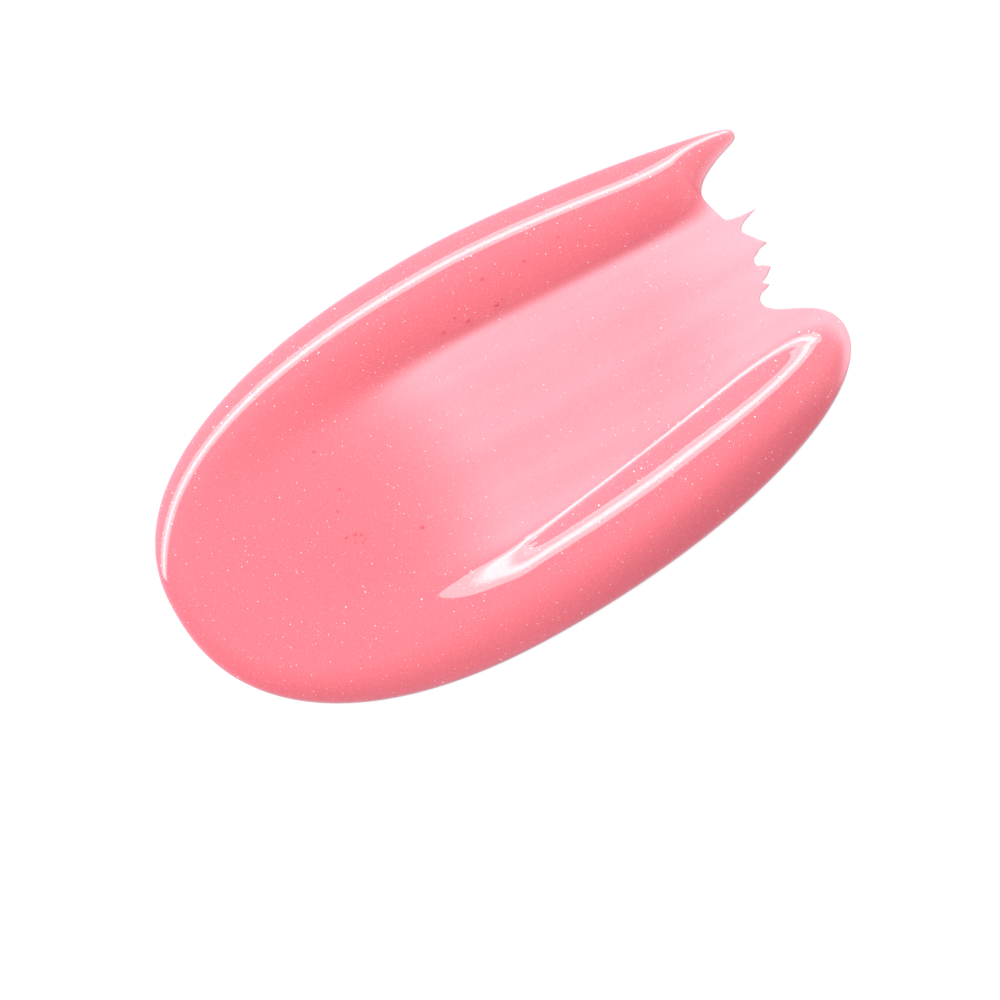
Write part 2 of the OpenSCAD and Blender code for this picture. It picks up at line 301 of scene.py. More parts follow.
class Rails:
    """Outer and inner rail of the thick gloss, from the left tip round the front to the lobe."""

    def __init__(self):
        left_outer, left_inner = self.left_tail()
        right_outer, right_inner = self.right_tail()
        self.front_start = len(left_outer)
        self.front_end = self.front_start + FRONT_STEPS
        turns = np.linspace(0, math.pi / 2, FRONT_STEPS // 2 + 1)
        left_front = front_quarter(LEFT_SIDE, turns[:0:-1])
        right_front = front_quarter(RIGHT_SIDE, turns[:-1])
        shares = np.linspace(0, 1, FRONT_STEPS + 1)[:-1, None]
        self.outer = np.concatenate([left_outer, left_front, right_front, right_outer])
        self.inner = np.concatenate([left_inner, mix(LEFT_FOOT, RIGHT_FOOT, shares), right_inner])
        self.stations = np.arange(len(self.outer))
        self.in_front = (self.stations >= self.front_start) & (self.stations <= self.front_end)
        self.front_share = np.clip((self.stations - self.front_start) / FRONT_STEPS, 0, 1)
        self.on_left = self.front_share < 0.5
        self.band = np.linalg.norm(self.inner - self.outer, axis=1)
        self.set_widths()
        self.set_heights()
        self.crest = self.outer + self.roll_width[:, None] * self.inward()

    @staticmethod
    def foot_shares():
        """Shares of a foot's length, close together at the tear."""
        grown = np.cumsum(FOOT_GROWTH ** np.arange(FOOT_STEPS))
        return np.concatenate(([0], grown / grown[-1]))

    def left_tail(self):
        """Outer and inner rail of the left ridge, from its tip to the pool."""
        size = LEFT_TIP_ROUNDING
        upper_end = LEFT_TIP + size * UPPER_TIP_RUN
        lower_end = LEFT_TIP + size * LOWER_TIP_RUN
        upper_tip = cubic(LEFT_TIP, size * TIP_PULL, size * UPPER_TIP_END_PULL, upper_end)
        lower_tip = cubic(LEFT_TIP, -size * TIP_PULL, size * LOWER_TIP_END_PULL, lower_end)
        edge = cubic(upper_end, LEFT_EDGE_TIP_PULL, LEFT_EDGE_SIDE_PULL, LEFT_SIDE)
        bite = cubic(lower_end, BITE_TIP_PULL, BITE_BOTTOM_PULL, BITE_BOTTOM)
        foot = cubic(BITE_BOTTOM, LEFT_FOOT_BITE_PULL, LEFT_FOOT_PULL, LEFT_FOOT)
        tip_shares = np.linspace(0, 1, TIP_STEPS, endpoint=False)
        bite_shares = np.linspace(0, 1, BITE_STEPS, endpoint=False)
        foot_shares = self.foot_shares()[:-1]
        edge_x = np.concatenate([
            mix(upper_end[0], BITE_ABREAST, bite_shares),
            mix(BITE_ABREAST, LEFT_SIDE[0], foot_shares),
        ])
        edge_y = np.interp(edge_x, edge[::-1, 0], edge[::-1, 1])
        outer = np.concatenate([spaced(upper_tip, tip_shares), np.stack([edge_x, edge_y], axis=1)])
        inner = np.concatenate([
            spaced(lower_tip, tip_shares),
            spaced(bite, bite_shares),
            spaced(foot, foot_shares),
        ])
        return outer, inner

    def right_tail(self):
        """Outer and inner rail of the right ridge, from the pool to the end of the lobe."""
        foot = cubic(RIGHT_FOOT, RIGHT_FOOT_PULL, RIGHT_FOOT_LOBE_PULL, LOBE_END)
        inner = spaced(foot, 1 - self.foot_shares()[::-1])
        sine = np.clip((inner[:, 0] - RIGHT_SIDE[0]) / (LOBE_END[0] - RIGHT_SIDE[0]), 0, 1)
        y = mix(LOBE_END[1], RIGHT_SIDE[1], np.sqrt(1 - sine**2))
        return np.stack([inner[:, 0], y], axis=1), inner

    def along(self, left, pool, right):
        """Value that runs from the left ridge's through the pool's to the right ridge's."""
        share = self.front_share
        from_left = mix(left, pool, ease(share / RIDGE_FADE))
        to_right = mix(right, pool, ease((1 - share) / RIDGE_FADE))
        return np.where(self.on_left, from_left, to_right)

    def set_widths(self):
        """Widths and curves of the outer roll and the inner flank, and the fillet's share of the flank."""
        inset = self.along(LEFT_CREST_INSET, POOL_CREST_INSET, RIGHT_CREST_INSET)
        self.roll_width = np.where(self.in_front, inset, np.minimum(inset, ROLL_SHARE * self.band))
        left_flank = LEFT_RIDGE_WIDTH - LEFT_CREST_INSET
        right_flank = RIGHT_RIDGE_WIDTH - RIGHT_CREST_INSET
        full_flank = np.where(self.on_left, left_flank, right_flank)
        self.flank_width = np.where(self.in_front, full_flank, self.band - self.roll_width)
        self.roll_power = self.along(LEFT_ROLL_POWER, LEFT_ROLL_POWER, RIGHT_ROLL_POWER)
        past_bite = ease((self.stations - TIP_STEPS - BITE_STEPS) / BITE_FILLET_ROWS)
        left_power = mix(BITE_FLANK_POWER, LEFT_FLANK_POWER, past_bite)
        to_lobe = ease((self.outer[:, 0] - LOBE_FOOT_START) / LOBE_FOOT_LENGTH)
        right_power = mix(RIGHT_FLANK_POWER, LOBE_FLANK_POWER, to_lobe)
        right_fillet = mix(RIGHT_FOOT_FILLET, LOBE_FOOT_FILLET, to_lobe)
        self.flank_power = np.where(self.on_left, left_power, right_power)
        fillet = self.along(LEFT_FOOT_FILLET, LEFT_FOOT_FILLET, right_fillet)
        share = fillet / np.maximum(self.flank_width, fillet / LARGEST_FILLET_SHARE)
        self.fillet_share = mix(BITE_FILLET_SHARE, share, past_bite)

    def set_heights(self):
        """Height of the crest, and how softly the outer roll leaves the edge of the lobe."""
        risen = ease((self.outer[:, 0] - RIGHT_RISE_START) / RIGHT_RISE_LENGTH)
        along = self.along(LEFT_RIDGE_HEIGHT, POOL_HEIGHT, POOL_SIDE_HEIGHT)
        full = np.where(self.on_left, along, mix(along, RIGHT_RIDGE_HEIGHT, risen))
        ridge_width = self.along(LEFT_RIDGE_WIDTH, LEFT_RIDGE_WIDTH, RIGHT_RIDGE_WIDTH)
        on_right_tail = self.stations > self.front_end
        past_fall = self.outer[:, 0] - (HALF_LENGTH - LOBE_LIP - LOBE_FALL_LENGTH)
        fall = np.clip(past_fall / LOBE_FALL_LENGTH, 0, 1) ** LOBE_FALL_POWER
        tip_fall = TIP_FALL * ease((self.outer[:, 0] - HALF_LENGTH) / TIP_FALL_LENGTH + 1)
        kept = np.where(on_right_tail, 1 - fall, 1 - tip_fall)
        self.height = np.where(self.in_front, full, full * roll(self.band / ridge_width) * kept)
        soft = LOBE_SOFTNESS * ease((self.outer[:, 0] - HALF_LENGTH) / LOBE_SOFT_LENGTH + 1)
        self.rim_softness = np.where(on_right_tail, soft, 0)

    def inward(self):
        """Direction square to the edge round the front, and towards the foot along the tails."""
        tangent = np.gradient(self.outer, axis=0)
        square = np.stack([-tangent[:, 1], tangent[:, 0]], axis=1)
        across = np.where(self.in_front[:, None], square, self.inner - self.outer)
        length = np.linalg.norm(across, axis=1, keepdims=True)
        return across / np.maximum(length, TINY)


def pool_depth(p):
    """How far a point lies past the foot of the pool's slope, which bows between the ridges' feet."""
    middle = (LEFT_FOOT + RIGHT_FOOT) / 2
    across = (p[..., 1] - middle[1]) / (LEFT_FOOT[1] - middle[1])
    return middle[0] - RAMP_BOW * np.minimum(across**2, 1) - p[..., 0]


def pool_level(p):
    return POOL_HEIGHT * ease(pool_depth(p) / RAMP_LENGTH)


def crease_softness(p):
    return FOOT_SOFTNESS * np.clip((pool_depth(p) + SOFTENING_LEAD) / SOFTENING_LENGTH, 0, 1)


def foot_in_pool(foot, pull, bend, x):
    """Line that carries a ridge's foot on into the pool."""
    run = x - foot[0]
    return foot[1] + run * pull[1] / pull[0] + bend * run**2


def edge_distance(points, outline):
    """Distance of each point from a closed outline."""
    along = np.roll(outline, -1, axis=0) - outline
    square_length = np.maximum((along**2).sum(axis=1), TINY)
    nearest = np.empty(len(points))
    for k in range(0, len(points), CHUNK):
        offset = points[k:k + CHUNK, None] - outline
        share = np.clip((offset * along).sum(axis=2) / square_length, 0, 1)
        nearest[k:k + CHUNK] = np.linalg.norm(offset - share[..., None] * along, axis=2).min(axis=1)
    return nearest


# The gloss, first as a flat plan and then raised by a rule

def plan_bead(rails):
    """Flat places and shape values of the thick gloss, from its outer edge over the crest to its foot."""
    u = (np.arange(ROLL_STEPS) / ROLL_STEPS)[None, :] ** ROLL_CROWDING
    v = 1 - (1 - np.arange(FLANK_STEPS + 1) / FLANK_STEPS)[None, :] ** FLANK_CROWDING
    rolled = mix(rails.outer[:, None], rails.crest[:, None], u[..., None])
    flank = mix(rails.crest[:, None], rails.inner[:, None], v[..., None])
    x, y = flank[..., 0], flank[..., 1]
    past_left = y - foot_in_pool(LEFT_FOOT, LEFT_FOOT_PULL, LEFT_FOOT_BEND, x)
    past_right = foot_in_pool(RIGHT_FOOT, RIGHT_FOOT_PULL, RIGHT_FOOT_BEND, x) - y
    past_foot = np.where(rails.on_left[:, None], past_left, past_right)
    flank_width = np.maximum(rails.flank_width, TINY)[:, None]
    climb = np.where(rails.in_front[:, None], past_foot / flank_width, 1 - v)
    level = pool_level(flank)
    softness = rails.fillet_share[:, None] + crease_softness(flank)
    on_roll = np.broadcast_to(u, rolled.shape[:2])

    def over_roll(values):
        """The crest's values over the outer roll, then the flank's own."""
        return np.concatenate([np.repeat(values[:, :1], ROLL_STEPS, axis=1), values], axis=1)

    def along_row(values):
        return np.repeat(values[:, None], ROLL_STEPS + FLANK_STEPS + 1, axis=1)

    return {
        "place": np.concatenate([rolled, flank], axis=1),
        "roll_share": np.concatenate([on_roll, np.ones(level.shape)], axis=1),
        "flank_share": over_roll(climb),
        "pool_level": over_roll(level),
        "foot_softness": over_roll(softness),
        "crest_height": along_row(rails.height),
        "roll_power": along_row(rails.roll_power),
        "flank_power": along_row(rails.flank_power),
        "rim_softness": along_row(rails.rim_softness),
    }


def plan_film(rails):
    """Flat places and shape values of the wiped film, between the feet, the pool and the tear."""
    edge, reach = lay_tear()
    rows = np.arange(FOOT_STEPS + 1)
    left_rows, right_rows = rails.front_start - rows, rails.front_end + rows
    left, right = rails.inner[left_rows][:, None], rails.inner[right_rows][:, None]
    start = rails.inner[rails.front_start:rails.front_end + 1][None]
    u = (1 - rails.foot_shares()[::-1])[:, None, None]
    v = np.linspace(0, 1, FRONT_STEPS + 1)[None, :, None]
    left_bulge = left - mix(LEFT_FOOT, BITE_BOTTOM, u)
    right_bulge = right - mix(RIGHT_FOOT, LOBE_END, u)
    place = mix(start, edge[None], u) + left_bulge * (1 - v) ** BULGE_FADE + right_bulge * v**BULGE_FADE
    place[..., 0] += reach * u[..., 0] ** SPIKE_FADE
    flank_width = np.maximum(rails.flank_width, LEAST_FLANK)[:, None]
    left_climb = -np.linalg.norm(place - left, axis=2) / flank_width[left_rows]
    right_climb = -np.linalg.norm(place - right, axis=2) / flank_width[right_rows]
    nearer_left = left_climb > right_climb

    def from_nearer_foot(values):
        return np.where(nearer_left, values[left_rows][:, None], values[right_rows][:, None])

    return {
        "place": place,
        "roll_share": np.ones(nearer_left.shape),
        "flank_share": np.where(nearer_left, left_climb, right_climb),
        "pool_level": pool_level(place),
        "foot_softness": from_nearer_foot(rails.fillet_share) + crease_softness(place),
        "crest_height": from_nearer_foot(rails.height),
        "roll_power": from_nearer_foot(rails.roll_power),
        "flank_power": from_nearer_foot(rails.flank_power),
        "rim_softness": np.zeros(nearer_left.shape),
    }


def grid_faces(index):
    """Faces of a grid of vertex numbers, with repeated corners dropped."""
    corners = np.stack([index[:-1, :-1], index[1:, :-1], index[1:, 1:], index[:-1, 1:]], axis=2)
    return [list(dict.fromkeys(face)) for face in corners.reshape(-1, 4).tolist()]


LENGTH_VALUES = ("pool_level", "crest_height", "edge_distance")


def plan_mesh(rails):
    """Flat closed mesh of the whole smear, with its shape values as named attributes."""
    bead, film = plan_bead(rails), plan_film(rails)
    bead_index = np.arange(bead["roll_share"].size).reshape(bead["roll_share"].shape)
    film_index = bead_index.size + np.arange(film["roll_share"].size).reshape(film["roll_share"].shape)
    bead_index[0, :] = bead_index[0, 0]
    bead_index[-1, :] = bead_index[-1, 0]
    rows = np.arange(FOOT_STEPS + 1)
    film_index[0, :] = bead_index[rails.front_start:rails.front_end + 1, -1]
    film_index[:, 0] = bead_index[rails.front_start - rows, -1]
    film_index[:, -1] = bead_index[rails.front_end + rows, -1]
    bite_end = TIP_STEPS + BITE_STEPS
    outline = np.concatenate(
        [bead_index[:, 0], film_index[-1, -2:0:-1], bead_index[bite_end:0:-1, -1]])
    values = {name: np.concatenate([bead[name].reshape(-1), film[name].reshape(-1)])
              for name in bead if name != "place"}
    places = np.concatenate([bead["place"].reshape(-1, 2), film["place"].reshape(-1, 2)])
    values["edge_distance"] = edge_distance(places, places[outline])
    values["edge_distance"][outline] = 0

    faces = grid_faces(bead_index) + grid_faces(film_index.T)
    faces.append(outline[::-1].tolist())
    used, renamed = np.unique(np.concatenate([np.array(f) for f in faces]), return_inverse=True)
    ends = np.cumsum([len(f) for f in faces])[:-1]
    faces = [f.tolist() for f in np.split(renamed, ends)]
    vertices = np.concatenate([places[used] * MM, np.zeros((len(used), 1))], axis=1)
    mesh = bpy.data.meshes.new("gloss_plan")
    mesh.from_pydata(vertices.tolist(), [], faces)
    for name, value in values.items():
        in_metres = MM if name in LENGTH_VALUES else 1
        layer = mesh.attributes.new(name, "FLOAT", "POINT")
        layer.data.foreach_set("value", (value[used] * in_metres).astype(np.float32))
    return mesh


# Node trees

class Nodes:
    """Short forms for building a node tree."""

    def __init__(self, tree):
        self.tree = tree

    def add(self, kind, inputs=None, **settings):
        node = self.tree.nodes.new(kind)
        for name, value in settings.items():
            setattr(node, name, value)
        for name, value in (inputs or {}).items():
            self.feed(node.inputs[name], value)
        return node

    def feed(self, socket, value):
        if isinstance(value, bpy.types.NodeSocket):
            self.tree.links.new(value, socket)
        else:
            socket.default_value = value

    def math(self, operation, *values, clamp=False):
        node = self.add("ShaderNodeMath", operation=operation, use_clamp=clamp)
        for socket, value in zip(node.inputs, values):
            self.feed(socket, value)
        return node.outputs[0]

    def named(self, name, kind="FLOAT"):
        return self.add("GeometryNodeInputNamedAttribute", {"Name": name}, data_type=kind).outputs[0]

    def vector(self, x, y, z):
        return self.add("ShaderNodeCombineXYZ", {"X": x, "Y": y, "Z": z}).outputs[0]

    def roll(self, value):
        """Rounded rise that leaves 0 steeply and levels out at 1."""
        share = self.math("ADD", value, 0.0, clamp=True)
        return self.math("MULTIPLY", share, self.math("SUBTRACT", 2.0, share))

    def blend(self, low, high, share):
        return self.math("MULTIPLY_ADD", self.math("SUBTRACT", high, low), share, low)

    def noise(self, place, scale, detail):
        """Noise about zero, from about -0.5 to 0.5."""
        texture = self.add("ShaderNodeTexNoise", {"Vector": place, "Scale": scale, "Detail": detail})
        return self.math("SUBTRACT", texture.outputs[0], 0.5)

    def colour_mix(self, share, low, high):
        node = self.add("ShaderNodeMix", data_type="RGBA")
        self.feed(node.inputs["Factor"], share)
        self.feed(node.inputs["A"], low)
        self.feed(node.inputs["B"], high)
        return node.outputs["Result"]


def geometry_tree(name, sizes):
    """New Geometry Nodes tree with a mesh in and out, and an input for each named size."""
    tree = bpy.data.node_groups.new(name, "GeometryNodeTree")
    tree.interface.new_socket("Geometry", in_out="INPUT", socket_type="NodeSocketGeometry")
    for label, value in sizes.items():
        kind = "NodeSocketInt" if isinstance(value, int) else "NodeSocketFloat"
        tree.interface.new_socket(label, in_out="INPUT", socket_type=kind)
    tree.interface.new_socket("Geometry", in_out="OUTPUT", socket_type="NodeSocketGeometry")
    build = Nodes(tree)
    return build, build.add("NodeGroupInput").outputs, build.add("NodeGroupOutput").inputs


def close_tree(build, out, geometry, finish):
    """End of a tree: instances made real, and one finish on the result."""
    real = build.add("GeometryNodeRealizeInstances", {"Geometry": geometry}).outputs[0]
    finished = build.add("GeometryNodeSetMaterial", {"Geometry": real, "Material": finish}).outputs[0]
    build.feed(out["Geometry"], finished)


def grow(name, mesh, build, sizes):
    """Object with the plain mesh that a Geometry Nodes tree makes from a mesh."""
    raw = bpy.data.objects.new(name + "_raw", mesh)
    bpy.context.scene.collection.objects.link(raw)
    modifier = raw.modifiers.new(name, "NODES")
    modifier.node_group = build.tree
    sockets = {s.name: s.identifier for s in build.tree.interface.items_tree if s.in_out == "INPUT"}
    for label, value in sizes.items():
        modifier[sockets[label]] = value
    raw.update_tag()
    evaluated = raw.evaluated_get(bpy.context.evaluated_depsgraph_get())
    grown = bpy.data.meshes.new_from_object(evaluated)
    bpy.data.objects.remove(raw)
    bpy.data.meshes.remove(mesh)
    grown.name = name
    piece = bpy.data.objects.new(name, grown)
    bpy.context.scene.collection.objects.link(piece)
    return piece


# Unevenness of the gel, as cells per metre and detail: drag lines along and across the stroke, and ripples
STREAK_SCALES = (55.0, 520.0, 0.0)
STREAK_DETAIL = 1.5
RIPPLE_SCALE = 160.0
RIPPLE_DETAIL = 1.0
# Edges of the skin that bend more than this are shaded as sharp
SHARP_ANGLE = math.radians(70)


def raise_gloss(mesh, finish):
    """The smear's skin: film, pool and ridges as one body of gel."""
    sizes = {
        "Film thickness": FILM_THICKNESS * MM,
        "Film crown": 1.05,
        "Side thinning": 0.0065 / MM**2,
        "Tear thinning": 0.37,
        "Tear reach": 6 * MM,
        "Bare below": 0.3 * MM,
        "Streak depth": 0.08 * MM,
        "Ripple height": 0.03 * MM,
        "Edge rounding": EDGE_ROUNDING * MM,
        "Film edge rounding": FILM_EDGE_ROUNDING * MM,
    }
    build, given, out = geometry_tree("raise_gloss", sizes)
    edge = build.named("edge_distance")
    place = build.add("GeometryNodeInputPosition").outputs[0]
    across = build.add("ShaderNodeSeparateXYZ", {0: place}).outputs["Y"]

    # Thick gloss: up the outer roll, and down the inner flank to the pool's slope or the film
    climb = build.math("SMOOTH_MAX", build.named("flank_share"), 0.0, build.named("foot_softness"))
    below_crest = build.math("SUBTRACT", 1.0, climb, clamp=True)
    fall = build.math("POWER", below_crest, build.named("flank_power"))
    level = build.blend(build.named("crest_height"), build.named("pool_level"), fall)
    short_of_crest = build.math("SUBTRACT", 1.0, build.named("roll_share"), clamp=True)
    rolled = build.math("SUBTRACT", 1.0, build.math("POWER", short_of_crest, build.named("roll_power")))
    rim_power = build.math("ADD", 1.0, build.named("rim_softness"))
    rise = build.math("MULTIPLY", level, build.math("POWER", rolled, rim_power))

    # Film: thickest along the middle of the channel, thinning out towards the tear, with soft drag lines
    bare = build.math("SUBTRACT", 1.0, build.math("DIVIDE", level, given["Bare below"], clamp=True))
    thinned = build.math("MULTIPLY", given["Side thinning"], build.math("MULTIPLY", across, across))
    crown = build.math("SUBTRACT", given["Film crown"], thinned)
    near_tear = build.math("SUBTRACT", 1.0, build.math("DIVIDE", edge, given["Tear reach"], clamp=True))
    kept = build.math("SUBTRACT", 1.0, build.math("MULTIPLY", given["Tear thinning"], near_tear))
    sheet = build.math("MULTIPLY", given["Film thickness"],
                       build.blend(1.0, build.math("MULTIPLY", crown, kept), bare))
    drawn_out = build.add("ShaderNodeVectorMath", {0: place, 1: STREAK_SCALES}, operation="MULTIPLY")
    streaks = build.noise(drawn_out.outputs[0], 1.0, STREAK_DETAIL)
    streak_depth = build.math("MULTIPLY", given["Streak depth"], bare)
    sheet = build.math("MULTIPLY_ADD", streaks, streak_depth, sheet)

    # Slow unevenness all over, and a rounded edge
    waves = build.noise(place, RIPPLE_SCALE, RIPPLE_DETAIL)
    ripples = build.math("MULTIPLY", waves, given["Ripple height"])
    gel = build.math("ADD", build.math("ADD", sheet, rise), ripples)
    edge_width = build.blend(given["Edge rounding"], given["Film edge rounding"], bare)
    rounding = build.math("SQRT", build.roll(build.math("DIVIDE", edge, edge_width)))
    lift = build.vector(0.0, 0.0, build.math("MULTIPLY", gel, rounding))
    raised = build.add("GeometryNodeSetPosition", {"Geometry": given["Geometry"], "Offset": lift})
    close_tree(build, out, raised.outputs[0], finish)

    plan_values = [layer.name for layer in mesh.attributes if layer.data_type == "FLOAT"]
    skin = grow("gloss_skin", mesh, build, sizes)
    skin.data.polygons.foreach_set("use_smooth", [True] * len(skin.data.polygons))
    skin.data.set_sharp_from_angle(angle=SHARP_ANGLE)
    for name in plan_values:
        skin.data.attributes.remove(skin.data.attributes[name])
    return skin


# Drifts of pearl, as cells per metre and detail, and how strongly they thin out the flecks
DRIFT_SCALE = 450.0
DRIFT_DETAIL = 2.0
DRIFT_STRENGTH = 3.0
DRIFT_LEVEL = 0.9
# How far the skin faces up where flecks lie on it, where 1 is level, and how few of them grow large
LEAST_UPWARDS = 0.3
GROWTH_POWER = 18.0
# A platelet's sides, and its thickness as a share of its radius
PLATELET_SIDES = 4
PLATELET_THICKNESS = 0.4


def scatter_pearl(skin, finish):
    """Pearl platelets on the gel's upper surface, a few of them bright and most of them faint."""
    sizes = {
        "Flecks per area": 22.0 / MM**2,
        "Smallest radius": 0.013 * MM,
        "Largest radius": 0.042 * MM,
        "Largest tilt": math.radians(14),
        "Seed": 4,
    }
    build, given, out = geometry_tree("scatter_pearl", sizes)
    normal = build.add("GeometryNodeInputNormal").outputs[0]
    upwards = build.add("ShaderNodeSeparateXYZ", {0: normal}).outputs["Z"]
    on_top = build.math("GREATER_THAN", upwards, LEAST_UPWARDS)
    place = build.add("GeometryNodeInputPosition").outputs[0]
    clouds = build.noise(place, DRIFT_SCALE, DRIFT_DETAIL)
    drifts = build.math("MULTIPLY_ADD", clouds, DRIFT_STRENGTH, DRIFT_LEVEL, clamp=True)
    scattered = build.add("GeometryNodeDistributePointsOnFaces", {
        "Mesh": given["Geometry"],
        "Selection": on_top,
        "Density": build.math("MULTIPLY", given["Flecks per area"], drifts),
        "Seed": given["Seed"],
    }).outputs
    tone = build.add("FunctionNodeRandomValue", {"Seed": given["Seed"]}, data_type="FLOAT")
    toned = build.add("GeometryNodeStoreNamedAttribute", {
        "Geometry": scattered["Points"],
        "Name": "pearl_tone",
        "Value": tone.outputs["Value"],
    }, data_type="FLOAT", domain="POINT").outputs[0]
    growth = build.math("POWER", build.named("pearl_tone"), GROWTH_POWER)
    radius = build.blend(given["Smallest radius"], given["Largest radius"], growth)
    back = build.math("MULTIPLY", given["Largest tilt"], -1.0)
    turn = build.add("FunctionNodeRandomValue", {
        "Min": build.vector(back, back, -math.pi),
        "Max": build.vector(given["Largest tilt"], given["Largest tilt"], math.pi),
        "Seed": given["Seed"],
    }, data_type="FLOAT_VECTOR").outputs["Value"]
    tilt = build.add("FunctionNodeEulerToRotation", {"Euler": turn}).outputs[0]
    rotation = build.add("FunctionNodeRotateRotation", {
        "Rotation": scattered["Rotation"],
        "Rotate By": tilt,
    }, rotation_space="LOCAL").outputs[0]
    platelet = build.add("GeometryNodeMeshCylinder", {
        "Vertices": PLATELET_SIDES,
        "Radius": 1.0,
        "Depth": PLATELET_THICKNESS,
    }).outputs["Mesh"]
    laid = build.add("GeometryNodeInstanceOnPoints", {
        "Points": toned,
        "Instance": platelet,
        "Rotation": rotation,
        "Scale": build.vector(radius, radius, radius),
    }).outputs[0]
    close_tree(build, out, laid, finish)
    return grow("pearl_sparkle", skin.data.copy(), build, sizes)


def bubble_places(skin):
    """Mesh of points on the gel's surface, with each bubble's radius and the way that it faces."""
    vertices = [v.co for v in skin.data.vertices]
    surface = BVHTree.FromPolygons(vertices, [p.vertices for p in skin.data.polygons])
    places, facings, radii = [], [], []
    for x, y, diameter in BUBBLES:
        above = Vector((x * MM, y * MM, cad_high.z + MM))
        place, facing, _, _ = surface.ray_cast(above, Vector((0, 0, -1)))
        places.append(place)
        facings.extend(facing)
        radii.append(diameter / 2 * MM)
    mesh = bpy.data.meshes.new("bubble_places")
    mesh.from_pydata(places, [], [])
    mesh.attributes.new("bubble_radius", "FLOAT", "POINT").data.foreach_set("value", radii)
    mesh.attributes.new("bubble_facing", "FLOAT_VECTOR", "POINT").data.foreach_set("vector", facings)
    return mesh


# Steps of a bubble's mesh: round its dome, down its dome, round its ring, and round the ring's own section
DOME_SEGMENTS = 14
DOME_RINGS = 7
RING_STEPS = 20
RING_SIDES = 6


def trap_bubbles(skin, finish):
    """Air bubbles that lift the surface: a low dome in a thin raised ring."""
    sizes = {
        "Dome height": 0.3,
        "Ring radius": 1.45,
        "Ring thickness": 0.22,
        "Ring height": 0.5,
    }
    build, given, out = geometry_tree("trap_bubbles", sizes)

    def flattened(geometry, height, ring):
        """Shape pressed to a height, and marked as dome (0) or ring (1)."""
        low = build.add("GeometryNodeTransform", {
            "Geometry": geometry,
            "Scale": build.vector(1.0, 1.0, height),
        }).outputs[0]
        return build.add("GeometryNodeStoreNamedAttribute", {
            "Geometry": low,
            "Name": "bubble_ring",
            "Value": ring,
        }, data_type="FLOAT", domain="POINT").outputs[0]

    def circle(steps, radius):
        inputs = {"Resolution": steps, "Radius": radius}
        return build.add("GeometryNodeCurvePrimitiveCircle", inputs).outputs[0]

    ball = build.add("GeometryNodeMeshUVSphere", {
        "Segments": DOME_SEGMENTS,
        "Rings": DOME_RINGS,
        "Radius": 1.0,
    }).outputs["Mesh"]
    loop = circle(RING_STEPS, given["Ring radius"])
    bar = circle(RING_SIDES, given["Ring thickness"])
    hoop = build.add("GeometryNodeCurveToMesh", {"Curve": loop, "Profile Curve": bar}).outputs[0]
    bubble = build.add("GeometryNodeJoinGeometry")
    build.feed(bubble.inputs[0], flattened(hoop, given["Ring height"], 1.0))
    build.feed(bubble.inputs[0], flattened(ball, given["Dome height"], 0.0))
    radius = build.named("bubble_radius")
    facing = build.add("FunctionNodeAlignRotationToVector", {
        "Vector": build.named("bubble_facing", "FLOAT_VECTOR"),
    }, axis="Z").outputs[0]
    laid = build.add("GeometryNodeInstanceOnPoints", {
        "Points": given["Geometry"],
        "Instance": bubble.outputs[0],
        "Rotation": facing,
        "Scale": build.vector(radius, radius, radius),
    }).outputs[0]
    close_tree(build, out, laid, finish)
    bubbles = grow("air_bubbles", bubble_places(skin), build, sizes)
    bubbles.data.polygons.foreach_set("use_smooth", [True] * len(bubbles.data.polygons))
    return bubbles


# Finishes

THICK_GLOSS = (1.0, 0.194, 0.25, 1)
# Steep sides are painted a deeper, darker colour: partly the greater depth of gel that they are seen
# through, partly painted shade
STEEP_GLOSS_AND_SHADE = (1.0, 0.15, 0.22, 1)
STEEPNESS_GAIN = 3.0
THIN_GLOSS = (1.0, 0.83, 0.97, 1)
PEARL = (1.0, 0.95, 0.94, 1)
# Painted shade on the dome over a bubble, and a painted highlight on its ring
BUBBLE_DOME_SHADE = (0.86, 0.165, 0.21, 1)
BUBBLE_RING_HIGHLIGHT = (1.0, 0.235, 0.285, 1)
# Faint specks of pearl in the gel: cells per metre, a speck's radius as a share of a cell, and its strength
DUST_SCALE = 6500.0
DUST_RADIUS = 0.2
DUST_STRENGTH = 0.24
# Depth of gel over which the white surface below fades from sight, and the least depth that shows
FADE_THICKNESS = 0.11
RIM_THICKNESS = 0.09
# Fine mottle of the gel: cells per metre, detail and strength
MOTTLE_SCALE = 8000.0
MOTTLE_DETAIL = 2.0
MOTTLE_STRENGTH = 0.22
# How a platelet's shine grows with its tone: power, gain and least shine
SHINE_POWER = 4.0
SHINE_GAIN = 0.85
LEAST_SHINE = 0.1
PEARL_METALLIC = 0.2
# Matt body of the gel, and the refraction and roughness of the wet surface over it
GEL_ROUGHNESS = 0.3
COAT_IOR = 1.48
GLOSS_COAT_ROUGHNESS = 0.025
PEARL_COAT_ROUGHNESS = 0.1
BUBBLE_COAT_ROUGHNESS = 0.2
BUBBLE_COAT_WEIGHT = 0.3


def finish_material(name):
    material = bpy.data.materials.new(name)
    material.use_nodes = True
    tree = material.node_tree
    return material, Nodes(tree), tree.nodes["Principled BSDF"]


def steepness(build):
    """0 where the surface lies level, growing to 1 on a steep side."""
    normal = build.add("ShaderNodeNewGeometry").outputs["Normal"]
    upwards = build.add("ShaderNodeSeparateXYZ", {0: normal}).outputs["Z"]
    return build.math("MULTIPLY", build.math("SUBTRACT", 1.0, upwards), STEEPNESS_GAIN, clamp=True)


